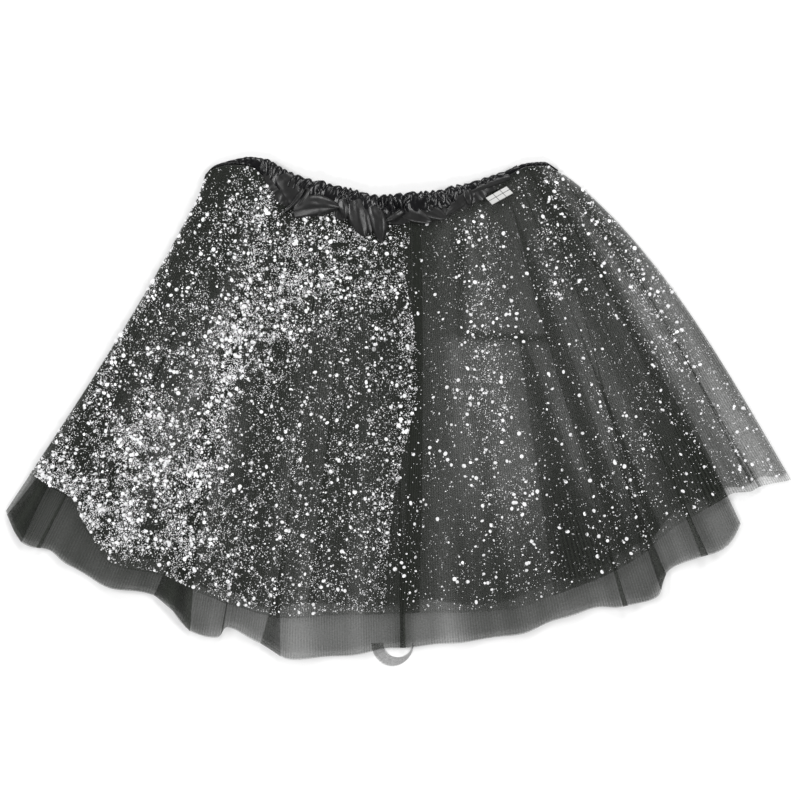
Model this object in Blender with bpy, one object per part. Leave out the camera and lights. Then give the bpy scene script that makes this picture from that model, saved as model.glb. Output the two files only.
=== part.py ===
"""A black tulle tutu skirt, laid flat with its front up.

X runs across the skirt, Y from the hem up to the waist, and Z up from the surface it lies on.
Tables are in millimetres, and Blender's own unit is the metre.

The waist seam is one curve, and the skirt is a fan of rays from that seam to the hem. Every layer of
tulle is a wall on the same rays, so the layers lie on each other and swell over the same pleats.
"""

import bisect
import math
from collections import namedtuple

import bmesh
import bpy

MM = 0.001
WALL = 1.3  # thickness of a tulle wall, gathers and stiffening included
GAP = 0.35  # left between one layer and the next
PLY = WALL + GAP  # rise from one layer to the next
SEAM_HALF = 0.3  # each piece stops this far short of the line where it is sewn to another
COLUMNS_PER_RAY = 4
DOWN_STOPS = (0.0, 0.07, 0.18, 0.33, 0.53, 0.76, 1.0)  # rows of a panel, as shares of its length

# Stations along the waist: where the tulle is sewn on, the band's upper edge, how thick the
# gathered casing is, and how far its gathers stand out.
Station = namedtuple("Station", "seam_x seam_y top_x top_y thick gather")
WAIST = (
    Station(-174.5, 205.5, -171.5, 216.0, 2.6, 0.0),
    Station(-166.5, 218.0, -163.5, 223.0, 3.0, 0.2),
    Station(-148.5, 222.5, -148.5, 228.5, 3.4, 0.3),
    Station(-132.5, 221.0, -132.5, 231.5, 3.8, 0.3),
    Station(-119.5, 211.0, -116.0, 229.0, 4.2, 0.5),
    Station(-108.0, 196.0, -101.5, 220.5, 4.8, 1.2),
    Station(-89.0, 186.0, -82.0, 212.0, 5.2, 1.7),
    Station(-62.0, 181.5, -56.5, 205.5, 5.2, 1.7),
    Station(-40.5, 178.5, -37.0, 201.0, 5.2, 1.7),
    Station(-17.0, 174.5, -16.0, 196.0, 5.2, 1.9),
    Station(7.0, 175.0, 6.0, 198.0, 5.2, 2.2),
    Station(31.5, 178.5, 29.5, 199.5, 5.2, 2.2),
    Station(55.0, 186.5, 50.5, 204.0, 5.0, 1.7),
    Station(74.5, 198.5, 71.0, 210.0, 4.4, 1.0),
    Station(95.5, 210.0, 93.5, 217.5, 3.8, 0.5),
    Station(118.0, 221.0, 117.0, 226.0, 3.4, 0.3),
    Station(133.0, 222.0, 130.5, 227.0, 3.0, 0.2),
    Station(145.0, 216.5, 143.0, 220.5, 2.6, 0.0),
)

# Rays of the fan: where each leaves the waist (counted in stations), where it meets the hem of the
# under layer, the share of its length that the shorter glitter layer covers, and how far it bows.
Ray = namedtuple("Ray", "waist hem_x hem_y glitter bow")
RAYS = (
    Ray(0.00, -351.5, -88.5, 0.885, 11.0),
    Ray(1.00, -336.0, -117.5, 0.850, 9.0),
    Ray(2.00, -315.0, -123.0, 0.870, 6.0),
    Ray(2.70, -292.5, -138.0, 0.910, 2.0),
    Ray(3.30, -260.0, -158.0, 0.950, 0.0),
    Ray(4.20, -220.5, -167.0, 0.950, 0.0),
    Ray(5.00, -186.5, -196.5, 0.910, 0.0),
    Ray(5.80, -161.0, -202.0, 0.917, 0.0),
    Ray(6.05, -153.0, -193.0, 0.945, 0.0),
    Ray(6.60, -125.0, -205.5, 0.935, 0.0),
    Ray(7.30, -96.5, -221.0, 0.908, 0.0),
    Ray(8.30, -51.5, -219.0, 0.905, 0.0),
    Ray(9.20, -11.0, -212.5, 0.918, 0.0),
    Ray(10.00, 25.0, -209.5, 0.922, 0.0),
    Ray(10.90, 65.5, -205.0, 0.932, 0.0),
    Ray(11.80, 110.5, -198.5, 0.940, 0.0),
    Ray(12.60, 146.5, -185.0, 0.943, 0.0),
    Ray(13.30, 182.5, -175.0, 0.937, 0.0),
    Ray(13.80, 206.0, -173.5, 0.915, 0.0),
    Ray(14.30, 234.0, -164.5, 0.900, 0.0),
    Ray(14.50, 243.0, -145.5, 0.927, 2.0),
    Ray(15.00, 272.5, -129.0, 0.907, 7.0),
    Ray(15.70, 308.5, -99.5, 0.926, 13.0),
    Ray(16.40, 321.5, -69.0, 1.000, 18.0),
    Ray(17.00, 351.5, -59.0, 1.000, 23.0),
)
PLAIN_LAST_RAY = 22  # the under layer ends here, and only the glitter layer flares further
LAST_RAY = len(RAYS) - 1

# Pleats: the ray of the crest, how many rays it rises over and drops over, its height as a share of
# the tallest, and how far down the skirt it starts.
Pleat = namedtuple("Pleat", "crest rise drop height start")
PLEATS = (
    Pleat(1.25, 1.00, 0.75, 0.75, 0.00),
    Pleat(2.75, 0.75, 0.50, 0.60, 0.20),
    Pleat(4.25, 0.75, 0.75, 0.80, 0.00),
    Pleat(5.50, 0.50, 0.50, 0.55, 0.35),
    Pleat(7.00, 0.75, 0.50, 1.00, 0.05),
    Pleat(8.75, 0.75, 0.50, 0.70, 0.00),
    Pleat(10.25, 0.75, 0.50, 0.95, 0.10),
    Pleat(11.50, 0.50, 0.50, 0.70, 0.30),
    Pleat(13.75, 0.50, 0.50, 0.75, 0.00),
    Pleat(15.00, 0.50, 0.50, 0.60, 0.15),
    Pleat(16.25, 0.75, 0.50, 0.80, 0.00),
    Pleat(18.00, 1.00, 0.50, 1.00, 0.00),
    Pleat(19.25, 0.50, 0.50, 0.80, 0.25),
    Pleat(21.00, 1.00, 0.50, 1.00, 0.00),
    Pleat(22.75, 0.75, 0.50, 0.60, 0.20),
)

# Layers of tulle from the surface up: height of the under side in the troughs, and the most that a
# pleat lifts it. The lowest layer lies flat.
Layer = namedtuple("Layer", "base lift")
BACK_GLITTER = Layer(0.0, 0.0)
BACK_PLAIN = Layer(PLY, 1.2)
FRONT_PLAIN = Layer(2 * PLY, 5.0)
FRONT_GLITTER_UNDER = Layer(3 * PLY, 6.0)
FRONT_GLITTER_OVER = Layer(4 * PLY + 0.3, 6.5)
FLARE_FROM, FLARE_TO = 22.25, 23.5  # past the under layer the glitter layer sinks to the back one
FLARE_SINK = 2 * PLY

# The open front edge of the upper glitter stretch: share of the length, and the ray it lies on.
EdgeStop = namedtuple("EdgeStop", "down ray")
OPEN_EDGE = (
    EdgeStop(0.00, 13.30),
    EdgeStop(0.16, 13.00),
    EdgeStop(0.30, 13.20),
    EdgeStop(0.42, 13.18),
    EdgeStop(0.58, 12.70),
    EdgeStop(0.75, 12.25),
    EdgeStop(1.00, 12.00),
)
OVER_REGULAR_RAYS = 11  # up to this ray the upper stretch shares its columns with the others
OVER_EDGE_COLUMNS = 8
UNDER_FIRST_RAY = 11.5

BAND_SIDES = 8
FRONT_GATHERS = 50
BACK_GATHERS = 24
BACK_BAND_THICK = 0.72  # share of the front casing's thickness, pressed flat by what lies on it

# Folds of the satin heading, the strip's free edge below the elastic: where each hangs (counted in
# stations), half its width, how far it hangs down and how high it stands.
Fold = namedtuple("Fold", "at half drop height")
HEADING_FOLDS = (
    Fold(4.70, 0.50, 9.0, 2.5),
    Fold(5.55, 0.40, 4.0, 2.0),
    Fold(6.60, 0.75, 8.0, 4.0),
    Fold(8.00, 0.55, 21.0, 3.5),
    Fold(9.00, 0.45, 18.0, 4.0),
    Fold(9.70, 0.30, 4.0, 2.0),
    Fold(10.50, 0.55, 7.0, 3.0),
    Fold(11.60, 0.50, 4.0, 2.5),
    Fold(12.60, 0.50, 5.0, 3.0),
    Fold(13.40, 0.35, 3.0, 2.0),
)
HEADING_FROM, HEADING_TO = 4.1, 13.8
HEADING_LEAST_DROP = 4.0
HEADING_BASE = 8.8
HEADING_WALL = 1.4
HEADING_COLUMNS = 90
HEADING_FULLNESS = 1.8  # how square the folds are across, from 1 for pointed ones

LABEL_RAYS = (17.1, 18.9)
LABEL_DOWN = (0.018, 0.044)
LABEL_WALL = 1.0

# A narrow strip of tulle that hangs in a loop below the hem.
LOOP_LEFT_X, LOOP_RIGHT_X = -23.5, 13.5
LOOP_TOP_Y = -203.5
LOOP_DROP = 22.4
LOOP_END_WIDTH, LOOP_MIDDLE_WIDTH = 2.6, 8.4
LOOP_WALL = 1.2
LOOP_COLUMNS = 26
BACK_PLAIN_SHARE = 0.972  # the back hems are a little shorter, so the front hides them


def monotone(stops, values, at):
    """Reads a smooth curve through the values that never swings past them."""
    at = min(max(at, stops[0]), stops[-1])
    i = min(max(bisect.bisect_right(stops, at) - 1, 0), len(stops) - 2)

    def slope(k):
        return (values[k + 1] - values[k]) / (stops[k + 1] - stops[k])

    def tangent(k):
        if k in (0, len(stops) - 1):
            return slope(min(k, len(stops) - 2))
        before, after = slope(k - 1), slope(k)
        if before * after <= 0:
            return 0.0
        return 2 * before * after / (before + after)

    width = stops[i + 1] - stops[i]
    t = (at - stops[i]) / width
    rise = values[i + 1] - values[i]
    return (
        values[i]
        + rise * (3 - 2 * t) * t * t
        + width * tangent(i) * t * (1 - t) ** 2
        - width * tangent(i + 1) * t * t * (1 - t)
    )


def read_rows(rows, at, field):
    """Reads one column of a table between its rows, the rows being counted from 0."""
    return monotone(range(len(rows)), [getattr(row, field) for row in rows], at)


def smooth_step(share):
    """Goes from 0 to 1 with level ends."""
    share = min(max(share, 0.0), 1.0)
    return share * share * (3 - 2 * share)


def seam_point(station):
    """Gives the waist seam's place at a station."""
    return read_rows(WAIST, station, "seam_x"), read_rows(WAIST, station, "seam_y")


def away_from_band(station):
    """Gives the direction square to the waist seam, on the side of the tulle."""
    next_x, next_y = seam_point(min(station + 0.01, len(WAIST) - 1))
    prior_x, prior_y = seam_point(max(station - 0.01, 0))
    long = math.hypot(next_x - prior_x, next_y - prior_y)
    return (next_y - prior_y) / long, -(next_x - prior_x) / long


def fan_point(ray, down):
    """Gives the place in plan at a share of the way down a ray."""
    station = read_rows(RAYS, ray, "waist")
    seam_x, seam_y = seam_point(station)
    away_x, away_y = away_from_band(station)
    start_x, start_y = seam_x + away_x * SEAM_HALF, seam_y + away_y * SEAM_HALF
    hem_x, hem_y = read_rows(RAYS, ray, "hem_x"), read_rows(RAYS, ray, "hem_y")
    long = math.hypot(hem_x - start_x, hem_y - start_y)
    ahead_x, ahead_y = (hem_x - start_x) / long, (hem_y - start_y) / long
    bow = read_rows(RAYS, ray, "bow") * math.sin(math.pi * math.sqrt(down))
    along = long * down
    return start_x + ahead_x * along - ahead_y * bow, start_y + ahead_y * along + ahead_x * bow


def pleat_height(ray, down):
    """Gives how high the pleats stand at a place on the fan, from 0 to 1."""
    height = 0.0
    for pleat in PLEATS:
        away = ray - pleat.crest
        reach = pleat.rise if away < 0 else pleat.drop
        grown = smooth_step((down - pleat.start) / (1 - pleat.start)) * (0.35 + 0.65 * down)
        height += pleat.height * grown * smooth_step(1 - abs(away) / reach)
    return height


def tulle_height(layer, ray, down):
    """Gives the height of a tulle layer's under side."""
    sink = 0.0
    if layer in (FRONT_GLITTER_UNDER, FRONT_GLITTER_OVER):
        sink = FLARE_SINK * smooth_step((ray - FLARE_FROM) / (FLARE_TO - FLARE_FROM))
    return layer.base - sink + layer.lift * pleat_height(ray, down)


def cloth_material(name, colour, roughness):
    """Makes a plain cloth finish."""
    material = bpy.data.materials.new(name)
    material.use_nodes = True
    shader = material.node_tree.nodes["Principled BSDF"]
    shader.inputs["Base Color"].default_value = (*colour, 1.0)
    shader.inputs["Roughness"].default_value = roughness
    shader.inputs["Metallic"].default_value = 0.0
    return material


def add_node(name, mesh, material):
    """Turns a bmesh in millimetres into a named object."""
    bmesh.ops.recalc_face_normals(mesh, faces=mesh.faces)
    bmesh.ops.scale(mesh, vec=(MM, MM, MM), verts=mesh.verts)
    data = bpy.data.meshes.new(name)
    mesh.to_mesh(data)
    mesh.free()
    data.shade_smooth()
    data.set_sharp_from_angle(angle=math.radians(50))
    data.materials.append(material)
    node = bpy.data.objects.new(name, data)
    bpy.context.scene.collection.objects.link(node)
    return node


def cloth_wall(name, columns, rows, under_side, thickness, material):
    """Makes a wall of cloth: under_side gives a point for a column and a row number."""
    mesh = bmesh.new()
    bmesh.ops.create_grid(mesh, x_segments=columns, y_segments=rows, size=0.5)
    for vert in mesh.verts:
        column = round((vert.co.x + 0.5) * columns)
        row = round((0.5 - vert.co.y) * rows)
        vert.co = under_side(column, row)
    # One way of cutting the quads for every layer, so that layers on the same columns never cross.
    bmesh.ops.triangulate(mesh, faces=mesh.faces, quad_method="FIXED")
    raised = bmesh.ops.extrude_face_region(mesh, geom=mesh.faces[:], use_keep_orig=True)
    upper = [item for item in raised["geom"] if isinstance(item, bmesh.types.BMVert)]
    bmesh.ops.translate(mesh, vec=(0, 0, thickness), verts=upper)
    return add_node(name, mesh, material)


def tulle_panel(name, layer, first_ray, last_ray, length, material):
    """Makes one stretch of a tulle layer. length gives the share of a ray that it covers."""
    rows = len(DOWN_STOPS) - 1

    def under_side(column, row):
        ray = first_ray + column / COLUMNS_PER_RAY
        down = DOWN_STOPS[row] * length(ray)
        return (*fan_point(ray, down), tulle_height(layer, ray, down))

    columns = round((last_ray - first_ray) * COLUMNS_PER_RAY)
    return cloth_wall(name, columns, rows, under_side, WALL, material)


def upper_glitter_stretch(name, material):
    """Makes the front stretch of glitter tulle whose open edge lies over the other stretch."""
    layer = FRONT_GLITTER_OVER
    regular = OVER_REGULAR_RAYS * COLUMNS_PER_RAY
    stops = [stop.down for stop in OPEN_EDGE]
    rays = [stop.ray for stop in OPEN_EDGE]

    def under_side(column, row):
        share = DOWN_STOPS[row]
        ray = column / COLUMNS_PER_RAY
        if column > regular:
            edge = monotone(stops, rays, share)
            past = (column - regular) / OVER_EDGE_COLUMNS
            ray = OVER_REGULAR_RAYS + (edge - OVER_REGULAR_RAYS) * past
        down = share * read_rows(RAYS, ray, "glitter")
        return (*fan_point(ray, down), tulle_height(layer, ray, down))

    columns = regular + OVER_EDGE_COLUMNS
    return cloth_wall(name, columns, len(DOWN_STOPS) - 1, under_side, WALL, material)


def front_band_base(station):
    """Gives the height of the front casing's under side, which rests on the back casing."""
    thick, gather = read_rows(WAIST, station, "thick"), read_rows(WAIST, station, "gather")
    return BACK_BAND_THICK * thick + GAP + 0.7 * gather


def gathered_band(name, gathers, base, thickness_share, inset, material):
    """Makes one run of the gathered elastic casing, a rounded bar between seam and upper edge.

    Crests and troughs of the gathers alternate along it, some taller than others. base gives the
    height of the under side at a station.
    """
    rings = 2 * gathers

    def place(ring, side):
        station = ring / rings * (len(WAIST) - 1)
        low_x, low_y = seam_point(station)
        top_x, top_y = read_rows(WAIST, station, "top_x"), read_rows(WAIST, station, "top_y")
        wide = math.hypot(top_x - low_x, top_y - low_y)
        up_x, up_y = (top_x - low_x) / wide, (top_y - low_y) / wide
        uneven = 0.75 + 0.25 * math.sin(1.9 * ring) + 0.2 * math.sin(0.7 * ring)
        gather = read_rows(WAIST, station, "gather") * uneven * (1 if ring % 2 else -1)
        thick = read_rows(WAIST, station, "thick") * thickness_share
        reach = wide - inset + 0.5 * gather
        angle = 2 * math.pi * (side + 0.5) / BAND_SIDES
        across = 0.5 - 0.5 * math.cos(angle) / math.cos(math.pi / BAND_SIDES)
        along = SEAM_HALF + (reach - SEAM_HALF) * across
        stand = 0.5 * math.sin(angle) / math.cos(math.pi / BAND_SIDES)
        swell = gather if stand > 0 else 0.0
        return (
            low_x + up_x * along,
            low_y + up_y * along,
            base(station) + thick / 2 + (thick + swell) * stand,
        )

    mesh = bmesh.new()
    bmesh.ops.create_grid(mesh, x_segments=rings, y_segments=BAND_SIDES, size=0.5)
    for vert in mesh.verts:
        ring = round((vert.co.x + 0.5) * rings)
        side = round((vert.co.y + 0.5) * BAND_SIDES) % BAND_SIDES
        vert.co = place(ring, side)
    bmesh.ops.remove_doubles(mesh, verts=mesh.verts, dist=0.0001)
    bmesh.ops.holes_fill(mesh, edges=[edge for edge in mesh.edges if edge.is_boundary])
    bmesh.ops.triangulate(mesh, faces=mesh.faces)
    return add_node(name, mesh, material)


def satin_heading(name, material):
    """Makes the free satin edge that hangs in folds below the elastic."""
    rows = 5

    def under_side(column, row):
        station = HEADING_FROM + (HEADING_TO - HEADING_FROM) * column / HEADING_COLUMNS
        share = row / rows
        start_x, start_y = seam_point(station)
        down_x, down_y = away_from_band(station)
        drop, height = HEADING_LEAST_DROP, 0.0
        for fold in HEADING_FOLDS:
            bulge = smooth_step(HEADING_FULLNESS * (1 - abs(station - fold.at) / fold.half))
            drop += fold.drop * bulge
            height += fold.height * bulge
        stand = height * (0.35 + 0.65 * math.sin(math.pi * (0.15 + 0.6 * share)))
        along = SEAM_HALF + drop * share
        return start_x + down_x * along, start_y + down_y * along, HEADING_BASE + stand

    return cloth_wall(name, HEADING_COLUMNS, rows, under_side, HEADING_WALL, material)


def woven_label(name, material):
    """Makes the small label, which lies on the glitter tulle beside the waist seam."""
    columns, rows = 6, 2
    layer = FRONT_GLITTER_UNDER

    def under_side(column, row):
        ray = LABEL_RAYS[0] + (LABEL_RAYS[1] - LABEL_RAYS[0]) * column / columns
        down = LABEL_DOWN[0] + (LABEL_DOWN[1] - LABEL_DOWN[0]) * row / rows
        return (*fan_point(ray, down), tulle_height(layer, ray, down) + PLY)

    return cloth_wall(name, columns, rows, under_side, LABEL_WALL, material)


def hem_loop(name, material):
    """Makes the narrow strip that hangs below the hem, wider where it turns flat at the bottom."""
    half_span = (LOOP_RIGHT_X - LOOP_LEFT_X) / 2
    middle_x = (LOOP_LEFT_X + LOOP_RIGHT_X) / 2

    def under_side(column, row):
        angle = math.pi * column / LOOP_COLUMNS
        width = LOOP_END_WIDTH + (LOOP_MIDDLE_WIDTH - LOOP_END_WIDTH) * math.sin(angle) ** 2
        out = width * (row - 0.5)
        x = middle_x - (half_span + out) * math.cos(angle)
        y = LOOP_TOP_Y - (LOOP_DROP + out) * math.sin(angle)
        return x, y, 0.0

    return cloth_wall(name, LOOP_COLUMNS, 1, under_side, LOOP_WALL, material)


def centre_on_origin(nodes):
    """Moves the finished skirt so that its box stands centred over the origin."""
    corners = [vert.co for node in nodes for vert in node.data.vertices]
    middle_x = (min(c.x for c in corners) + max(c.x for c in corners)) / 2
    middle_y = (min(c.y for c in corners) + max(c.y for c in corners)) / 2
    lowest = min(c.z for c in corners)
    for node in nodes:
        node.location = (-middle_x, -middle_y, -lowest)


def main():
    for leftover in list(bpy.data.objects):
        bpy.data.objects.remove(leftover)

    glitter_tulle = cloth_material("glitter_tulle", (0.09, 0.09, 0.095), 0.6)
    plain_tulle = cloth_material("plain_tulle", (0.05, 0.05, 0.048), 0.8)
    satin = cloth_material("black_satin", (0.012, 0.012, 0.014), 0.35)
    label_tape = cloth_material("label_tape", (0.78, 0.78, 0.76), 0.5)

    def glitter_share(ray):
        return read_rows(RAYS, ray, "glitter")

    def back_glitter_share(ray):
        return glitter_share(ray) - 0.012

    def plain_share(ray):
        return 1.0

    def back_plain_share(ray):
        return BACK_PLAIN_SHARE

    nodes = [
        tulle_panel("back_glitter_layer", BACK_GLITTER, 0, LAST_RAY, back_glitter_share, glitter_tulle),
        tulle_panel("back_plain_layer", BACK_PLAIN, 0, PLAIN_LAST_RAY, back_plain_share, plain_tulle),
        tulle_panel("front_plain_layer", FRONT_PLAIN, 0, PLAIN_LAST_RAY, plain_share, plain_tulle),
        tulle_panel(
            "front_glitter_right", FRONT_GLITTER_UNDER, UNDER_FIRST_RAY, LAST_RAY, glitter_share, glitter_tulle
        ),
        upper_glitter_stretch("front_glitter_left", glitter_tulle),
        gathered_band("waistband_back", BACK_GATHERS, lambda station: 0.0, BACK_BAND_THICK, 2.5, satin),
        gathered_band("waistband_front", FRONT_GATHERS, front_band_base, 1.0, 0.0, satin),
        satin_heading("satin_heading", satin),
        woven_label("woven_label", label_tape),
        hem_loop("hem_loop", plain_tulle),
    ]
    centre_on_origin(nodes)


main()
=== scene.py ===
"""The looks of a black tulle tutu skirt, laid flat with its front up.

X runs across the skirt, Y from the hem up to the waist and Z up from the surface it lies on. Tables
are in millimetres and meshes in metres. The skirt is a fan of rays from the waist seam to the hem,
and each layer of tulle is a thin sheet on those rays, with its tucks folded flat.
"""

from __future__ import annotations

import bisect
import logging
import math
import random
from collections.abc import Callable, Sequence
from dataclasses import astuple, dataclass, field
from enum import Enum
from functools import lru_cache

import bmesh
import bpy
from mathutils import Euler, Matrix, Vector, noise


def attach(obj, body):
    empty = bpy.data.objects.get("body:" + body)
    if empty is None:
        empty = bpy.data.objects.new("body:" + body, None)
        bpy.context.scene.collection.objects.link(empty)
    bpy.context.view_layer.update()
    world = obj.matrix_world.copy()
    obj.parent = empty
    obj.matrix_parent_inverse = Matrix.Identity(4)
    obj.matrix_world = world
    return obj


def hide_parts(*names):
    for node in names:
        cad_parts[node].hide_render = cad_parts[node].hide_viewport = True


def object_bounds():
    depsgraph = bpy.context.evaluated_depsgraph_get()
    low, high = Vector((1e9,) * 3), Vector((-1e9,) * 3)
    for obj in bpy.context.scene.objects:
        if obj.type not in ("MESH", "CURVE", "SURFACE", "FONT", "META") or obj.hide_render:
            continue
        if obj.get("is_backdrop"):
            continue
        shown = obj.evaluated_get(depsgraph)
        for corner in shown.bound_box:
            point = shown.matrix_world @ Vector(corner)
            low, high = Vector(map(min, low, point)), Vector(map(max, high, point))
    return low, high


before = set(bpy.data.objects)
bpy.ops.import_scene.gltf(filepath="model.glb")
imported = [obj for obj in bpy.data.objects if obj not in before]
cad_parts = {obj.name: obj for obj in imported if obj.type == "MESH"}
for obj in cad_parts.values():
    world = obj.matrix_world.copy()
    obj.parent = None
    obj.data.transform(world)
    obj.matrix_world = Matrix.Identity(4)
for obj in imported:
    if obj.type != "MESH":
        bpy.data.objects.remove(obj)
CAD_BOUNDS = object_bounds()

MM = 0.001
BODY = "root"
Point = tuple[float, float, float]
Colour = tuple[float, float, float]
log = logging.getLogger("tutu")


class Curve:
    """A smooth curve through given values that never swings past them."""

    def __init__(self, stops: Sequence[float], values: Sequence[float]) -> None:
        """Works out the slopes once.

        Args:
            stops: Rising positions.
            values: The value at each position.
        """
        self.stops = list(stops)
        self.values = list(values)
        last = len(self.stops) - 1
        slopes = [
            (self.values[i + 1] - self.values[i]) / (self.stops[i + 1] - self.stops[i])
            for i in range(last)
        ]
        self.tangents = [slopes[0]]
        for before, after in zip(slopes, slopes[1:]):
            turn = before * after
            self.tangents.append(2 * turn / (before + after) if turn > 0 else 0.0)
        self.tangents.append(slopes[-1])

    def __call__(self, at: float) -> float:
        """Reads the curve.

        Args:
            at: The position, held inside the curve's ends.

        Returns:
            The value there.
        """
        at = min(max(at, self.stops[0]), self.stops[-1])
        i = min(max(bisect.bisect_right(self.stops, at) - 1, 0), len(self.stops) - 2)
        width = self.stops[i + 1] - self.stops[i]
        t = (at - self.stops[i]) / width
        rise = self.values[i + 1] - self.values[i]
        return (
            self.values[i]
            + rise * (3 - 2 * t) * t * t
            + width * self.tangents[i] * t * (1 - t) ** 2
            - width * self.tangents[i + 1] * t * t * (1 - t)
        )


def smooth_step(share: float) -> float:
    """Goes from 0 to 1 with level ends."""
    share = min(max(share, 0.0), 1.0)
    return share * share * (3 - 2 * share)


def blend(low: float, high: float, share: float) -> float:
    """Mixes two values."""
    return low + (high - low) * share


def waver(x: float, y: float, z: float) -> float:
    """Reads smooth noise at a place, from about -1 to 1."""
    return noise.noise(Vector((x, y, z)))


@dataclass(frozen=True)
class Station:
    """A place along the waist: the seam, the band's upper edge, its thickness and its gathers."""

    seam_x: float
    seam_y: float
    top_x: float
    top_y: float
    thick: float
    gather: float


@dataclass(frozen=True)
class Ray:
    """A ray of the fan: its start in stations, its hem, the glitter layer's share, and its bow."""

    waist: float
    hem_x: float
    hem_y: float
    glitter: float
    bow: float


@dataclass(frozen=True)
class Pleat:
    """A soft pleat: its crest's ray, its reach to both sides, its height and where it starts."""

    crest: float
    rise: float
    drop: float
    height: float
    start: float


WAIST = (
    Station(-174.5, 205.5, -171.5, 216.0, 2.6, 0.0),
    Station(-166.5, 218.0, -163.5, 223.0, 3.0, 0.2),
    Station(-148.5, 222.5, -148.5, 228.5, 3.4, 0.3),
    Station(-132.5, 221.0, -132.5, 231.5, 3.8, 0.3),
    Station(-119.5, 211.0, -116.0, 229.0, 4.2, 0.5),
    Station(-108.0, 196.0, -101.5, 220.5, 4.8, 1.2),
    Station(-89.0, 186.0, -82.0, 212.0, 5.2, 1.7),
    Station(-62.0, 181.5, -56.5, 205.5, 5.2, 1.7),
    Station(-40.5, 178.5, -37.0, 201.0, 5.2, 1.7),
    Station(-17.0, 174.5, -16.0, 196.0, 5.2, 1.9),
    Station(7.0, 175.0, 6.0, 198.0, 5.2, 2.2),
    Station(31.5, 178.5, 29.5, 199.5, 5.2, 2.2),
    Station(55.0, 186.5, 50.5, 204.0, 5.0, 1.7),
    Station(74.5, 198.5, 71.0, 210.0, 4.4, 1.0),
    Station(95.5, 210.0, 93.5, 217.5, 3.8, 0.5),
    Station(118.0, 221.0, 117.0, 226.0, 3.4, 0.3),
    Station(133.0, 222.0, 130.5, 227.0, 3.0, 0.2),
    Station(145.0, 216.5, 143.0, 220.5, 2.6, 0.0),
)

RAYS = (
    Ray(0.0, -351.5, -88.5, 0.885, 6.5),
    Ray(1.0, -336.0, -117.5, 0.85, 4.0),
    Ray(2.0, -315.0, -123.0, 0.87, 3.0),
    Ray(2.7, -292.5, -138.0, 0.91, 1.0),
    Ray(3.3, -259.0, -156.5, 0.95, 0.0),
    Ray(4.2, -217.5, -164.5, 0.95, 0.0),
    Ray(5.0, -186.5, -196.5, 0.91, 0.0),
    Ray(5.8, -161.0, -202.0, 0.917, 0.0),
    Ray(6.05, -153.0, -193.0, 0.945, 0.0),
    Ray(6.6, -125.0, -205.5, 0.935, 0.0),
    Ray(7.3, -96.5, -221.0, 0.908, 0.0),
    Ray(8.3, -51.5, -219.0, 0.905, 0.0),
    Ray(9.2, -11.0, -212.5, 0.918, 0.0),
    Ray(10.0, 25.0, -209.5, 0.922, 0.0),
    Ray(10.9, 65.5, -205.0, 0.932, 0.0),
    Ray(11.8, 110.5, -198.5, 0.94, 0.0),
    Ray(12.6, 146.5, -185.0, 0.943, 0.0),
    Ray(13.3, 182.5, -175.0, 0.937, 0.0),
    Ray(13.8, 206.0, -173.5, 0.915, 0.0),
    Ray(14.3, 234.0, -164.5, 0.9, 0.0),
    Ray(14.5, 243.5, -142.0, 0.927, 2.0),
    Ray(15.0, 272.5, -129.0, 0.907, 6.4),
    Ray(15.7, 308.5, -99.5, 0.926, 12.0),
    Ray(16.4, 321.5, -69.0, 1.0, 16.5),
    Ray(17.0, 354.2, -60.5, 1.0, 18.6),
)

PLEATS = (
    Pleat(1.25, 1.0, 0.75, 0.75, 0.0),
    Pleat(2.75, 0.75, 0.5, 0.6, 0.2),
    Pleat(4.25, 0.75, 0.75, 0.8, 0.0),
    Pleat(5.5, 0.5, 0.5, 0.55, 0.35),
    Pleat(7.0, 0.75, 0.5, 1.0, 0.05),
    Pleat(8.75, 0.75, 0.5, 0.7, 0.0),
    Pleat(10.25, 0.75, 0.5, 0.95, 0.1),
    Pleat(11.5, 0.5, 0.5, 0.7, 0.3),
    Pleat(13.75, 0.5, 0.5, 0.75, 0.0),
    Pleat(15.0, 0.5, 0.5, 0.6, 0.15),
    Pleat(16.25, 0.75, 0.5, 0.8, 0.0),
    Pleat(18.0, 1.0, 0.5, 1.0, 0.0),
    Pleat(19.25, 0.5, 0.5, 0.8, 0.25),
    Pleat(21.0, 1.0, 0.5, 1.0, 0.0),
    Pleat(22.75, 0.75, 0.5, 0.6, 0.2),
)


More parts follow.
